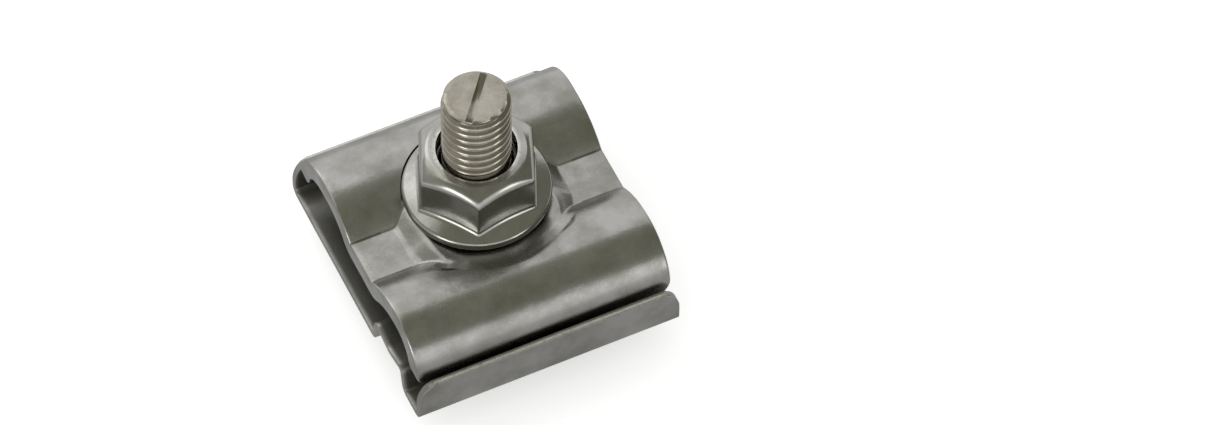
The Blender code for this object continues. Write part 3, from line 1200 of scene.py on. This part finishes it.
@dataclass(frozen=True)
class FlangeNut:
    """The flanged hexagon nut, with its thread showing at both mouths of the bore."""

    place: Extent
    across_flats: float = 16.0
    corner_angle: float = 7.0
    corner_round: float = 0.45
    flange_radius: float = 10.6
    rim: float = 1.3
    rim_round: float = 0.75
    rim_foot_round: float = 0.35
    cone_slope: float = 0.45
    top_radius: float = 7.0
    top_round: float = 0.8
    chamfer_slope: float = 0.7
    core_radius: float = 3.05
    sink_radius: float = 5.75
    mouth: float = 1.6
    minor_radius: float = 5.05
    major_radius: float = 5.55
    bore_gap: float = 0.2
    cutter_reach: float = 2.0
    thread_reach: float = 3.0
    edge: float = 1.8
    neck: float = 1.0
    flat_steps: int = 12
    corner_steps: int = 6
    round_steps: int = 8

    def hexagon(self) -> list[Vector]:
        """Draw the hexagon with its corners just rounded.

        Returns:
            The outline's points, with more along each flat.
        """
        reach = (self.across_flats / 2 - self.corner_round) / math.cos(math.pi / 6)
        corners = []
        for side in range(6):
            middle = math.radians(self.corner_angle + 60 * side)
            center = Vector((math.cos(middle), math.sin(middle))) * reach
            corners.append([
                station.point for station in arc(
                    center, self.corner_round, math.degrees(middle) - 30,
                    math.degrees(middle) + 30, self.corner_steps,
                )
            ])
        outline = []
        for corner, following in zip(corners, corners[1:] + corners[:1]):
            outline += corner
            outline += [
                corner[-1].lerp(following[0], step / self.flat_steps)
                for step in range(1, self.flat_steps)
            ]
        return outline

    def section(self, reach: float) -> list[Vector]:
        """Draw the nut's section with every edge rounded.

        Args:
            reach: how far the hexagon reaches in the section's direction.

        Returns:
            The points as (radius, z), from the top face to the underside.
        """
        top, bottom = self.place.high.z, self.place.low.z
        rim_top = bottom + self.rim
        stations = bent_path([
            (self.core_radius, top, 0),
            (self.top_radius, top, self.top_round),
            (reach, top - (reach - self.top_radius) * self.chamfer_slope, self.edge),
            (reach, rim_top + (self.flange_radius - reach) * self.cone_slope, self.neck),
            (self.flange_radius, rim_top, self.rim_round),
            (self.flange_radius, bottom, self.rim_foot_round),
            (self.core_radius, bottom, 0),
        ], 0.0, self.round_steps)
        return [station.point for station in stations]

    def build(self) -> Object:
        """Build the nut and let it stand for its node.

        Returns:
            The nut.
        """
        top, bottom = self.place.high.z, self.place.low.z
        steel = Steel.BRIGHT.value.material()
        outline = self.hexagon()
        nut = lofted("flanged_nut", [
            [Vector((*(way.normalized() * radius), z)) for way, (radius, z) in zip(outline, level)]
            for level in zip(*(self.section(point.length) for point in outline))
        ])
        thread = RolledThread().rod(
            "nut_thread", self.major_radius, self.minor_radius,
            bottom - self.thread_reach, top + self.thread_reach, 0.0, steel,
        )
        sink = self.sink_radius - self.minor_radius
        bore = self.minor_radius - self.bore_gap
        mouths = turned("nut_mouths", [
            (self.sink_radius + self.cutter_reach, bottom - self.cutter_reach),
            (bore, bottom + sink + self.bore_gap), (bore, top - self.mouth - sink),
            (self.sink_radius, top - self.mouth), (self.sink_radius, top + self.cutter_reach),
        ])
        for cutter in (thread, mouths):
            cut_or_join(nut, "DIFFERENCE", cutter)
        dress(nut, steel, sharp=38, outer=30, inner=30)
        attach(nut, "flange_nut")
        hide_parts("flange_nut")
        return nut


@dataclass(frozen=True)
class Studio:
    """The plain pale floor, soft light and camera of a catalogue picture.

    The camera's angles are in degrees. Its picture is 1214 by 425 pixels, and the clamp's
    origin lies at origin_px in it. A mirror dim is the share of its light that the floor
    shows to the steel beside it.
    """

    azimuth: float = -24.4
    elevation: float = 55.35
    roll: float = -0.45
    distance: float = 1090.0
    px_per_mm: float = 7.047
    picture: tuple[float, float] = (1214.0, 425.0)
    origin_px: tuple[float, float] = (477.4, 261.8)
    sensor: float = 36.0
    floor_reach: float = 1500.0
    floor_gap: float = 0.02
    floor_glow: float = 0.5
    mirror_dim: float = 0.5
    mirror_dim_from: float = 35.0
    mirror_dim_to: float = 200.0
    sky: float = 0.62

    def axes(self) -> tuple[Vector, Vector, Vector]:
        """Work the camera's directions out.

        Returns:
            Its right, up and back directions.
        """
        turn, rise = math.radians(self.azimuth), math.radians(self.elevation)
        back = Vector((
            math.sin(turn) * math.cos(rise), -math.cos(turn) * math.cos(rise), math.sin(rise),
        ))
        right = Vector((math.cos(turn), math.sin(turn), 0))
        up = back.cross(right)
        roll = math.radians(self.roll)
        return (
            right * math.cos(roll) + up * math.sin(roll),
            up * math.cos(roll) - right * math.sin(roll),
            back,
        )

    def camera(self) -> None:
        """Make the camera."""
        data = bpy.data.cameras.new("camera")
        width, height = self.picture
        data.sensor_width = self.sensor
        data.lens = self.px_per_mm * self.distance / width * self.sensor
        data.shift_x = (width / 2 - self.origin_px[0]) / width
        data.shift_y = (self.origin_px[1] - height / 2) / width
        data.clip_start = 0.01
        data.clip_end = 20.0
        camera = bpy.data.objects.new("camera", data)
        bpy.context.scene.collection.objects.link(camera)
        right, up, back = self.axes()
        turn = Matrix((right, up, back)).transposed().to_4x4()
        camera.matrix_world = Matrix.Translation(back * self.distance * MM) @ turn
        bpy.context.scene.camera = camera

    def card(self, name: str, at: Vector, size: tuple[float, float], colour: str) -> None:
        """Stand a card that only reflections see, turned to the clamp.

        Args:
            name: the card's name.
            at: its middle.
            size: its width and height.
            colour: the colour that it shines with.
        """
        half_x, half_y = size[0] / 2, size[1] / 2
        turn = at.to_track_quat("Z", "Y")
        corners = [(-half_x, -half_y), (half_x, -half_y), (half_x, half_y), (-half_x, half_y)]
        points = [at + turn @ Vector((x, y, 0)) for x, y in corners]
        card = mesh_object(name, points, [[0, 1, 2, 3]])
        material = bpy.data.materials.new(name)
        material.use_nodes = True
        tree = material.node_tree
        tree.nodes.clear()
        glow = add_node(tree, "ShaderNodeEmission", {"Color": linear(colour), "Strength": 1.0})
        add_node(tree, "ShaderNodeOutputMaterial", {"Surface": glow})
        card.data.materials.append(material)
        card.visible_camera = False
        card.visible_diffuse = False
        card.visible_shadow = False

    def floor(self) -> None:
        """Lay the pale floor, which keeps the clamp's shadow."""
        far, low = self.floor_reach, -self.floor_gap
        corners = [(-far, -far, low), (far, -far, low), (far, far, low), (-far, far, low)]
        floor = mesh_object("floor", [Vector(corner) for corner in corners], [[0, 1, 2, 3]])
        material = bpy.data.materials.new("white_sweep")
        material.use_nodes = True
        tree = material.node_tree
        shader = tree.nodes["Principled BSDF"]
        shader.inputs["Base Color"].default_value = linear("#f4f4f2")
        shader.inputs["Roughness"].default_value = 0.9
        shader.inputs["Specular IOR Level"].default_value = 0.0
        # painted shade: to reflections the floor is painted darker near the clamp, so the steel's
        # mirror image of it dims there
        away = add_node(tree, "ShaderNodeVectorMath", {
            0: add_node(tree, "ShaderNodeTexCoord").outputs["Object"],
        }, operation="LENGTH").outputs["Value"]
        dim = add_node(tree, "ShaderNodeMapRange", {
            "Value": away, "To Min": self.mirror_dim,
            "From Min": self.mirror_dim_from * MM, "From Max": self.mirror_dim_to * MM,
        })
        ray = add_node(tree, "ShaderNodeLightPath").outputs
        plain, glow = (
            add_node(tree, "ShaderNodeEmission", {"Color": linear("#ffffff"), "Strength": light})
            for light in (dim, self.floor_glow)
        )
        lifted = add_node(tree, "ShaderNodeAddShader", {0: shader, 1: glow})
        seen = add_node(tree, "ShaderNodeMixShader", {
            0: ray["Is Camera Ray"], 1: shader, 2: lifted,
        })
        shown = add_node(tree, "ShaderNodeMixShader", {0: ray["Is Glossy Ray"], 1: seen, 2: plain})
        output = tree.nodes["Material Output"]
        tree.links.new(shown.outputs[0], output.inputs["Surface"])
        floor.data.materials.append(material)

    def world(self) -> None:
        """Make the surroundings: white where they are seen, dimmer as light."""
        world = bpy.data.worlds.new("studio")
        world.use_nodes = True
        bpy.context.scene.world = world
        tree = world.node_tree
        ray = add_node(tree, "ShaderNodeLightPath").outputs
        seen: Any = ray["Is Camera Ray"]
        for kind in ("Is Glossy Ray", "Is Transmission Ray"):
            seen = add_node(tree, "ShaderNodeMath", {0: seen, 1: ray[kind]}, operation="MAXIMUM")
        strength = add_node(tree, "ShaderNodeMapRange", {"Value": seen, "To Min": self.sky})
        background = tree.nodes["Background"]
        background.inputs["Color"].default_value = linear("#ffffff")
        tree.links.new(strength.outputs[0], background.inputs["Strength"])

    def lamp(self, name: str, at: Vector, size: float, power: float, colour: str) -> None:
        """Hang a square soft light, turned to the clamp.

        Args:
            name: the lamp's name.
            at: its middle.
            size: the length of its side.
            power: its power in watts.
            colour: its colour.
        """
        data = bpy.data.lights.new(name, "AREA")
        data.shape = "SQUARE"
        data.size = size * MM
        data.energy = power
        data.color = linear(colour)[:3]
        lamp = bpy.data.objects.new(name, data)
        lamp.location = at * MM
        lamp.rotation_euler = at.to_track_quat("Z", "Y").to_euler()
        bpy.context.scene.collection.objects.link(lamp)

    def build(self) -> None:
        """Set the whole studio up."""
        self.camera()
        self.floor()
        self.world()
        for name, at, size, power, colour in (
            ("key_softbox", (-350, 500, 700), 900, 2.0, "#ffffff"),
            ("left_softbox", (-706, -344, 153), 300, 0.85, "#ffffff"),
            ("warm_strip", (-231, -805, 148), 80, 0.06, "#ffe6a0"),
            ("front_softbox", (420, -780, 140), 260, 0.4, "#ffffff"),
        ):
            self.lamp(name, Vector(at), size, power, colour)
        right, _, back = self.axes()
        front = Vector((back.x, back.y, 0)).normalized()
        up = Vector((0, 0, 1))
        self.card("front_flag", (front * 0.24 + up * 0.97) * 900, (2500, 1680), "#949587")
        self.card("right_flag", (right - front * 0.25 + up * 0.42) * 850, (1500, 760), "#85867c")
        self.card("left_flag", (-right + front * 0.15 + up * 0.38) * 850, (1300, 700), "#b9b9b2")
        bpy.context.scene.view_settings.view_transform = "Standard"


def main() -> None:
    """Build the clamp piece by piece, then the studio round it."""
    logging.basicConfig(level=logging.INFO, format="%(name)s: %(message)s")
    for sub_assembly, node in (
        (BottomPlate, "bottom_plate"), (TopPlate, "top_plate"),
        (HammerBolt, "t_bolt"), (FlangeNut, "flange_nut"),
    ):
        piece = sub_assembly(Extent.of(node)).build()
        log.info("%s: %d faces", piece.name, len(piece.data.polygons))
    Studio().build()


if __name__ == "__main__":
    main()
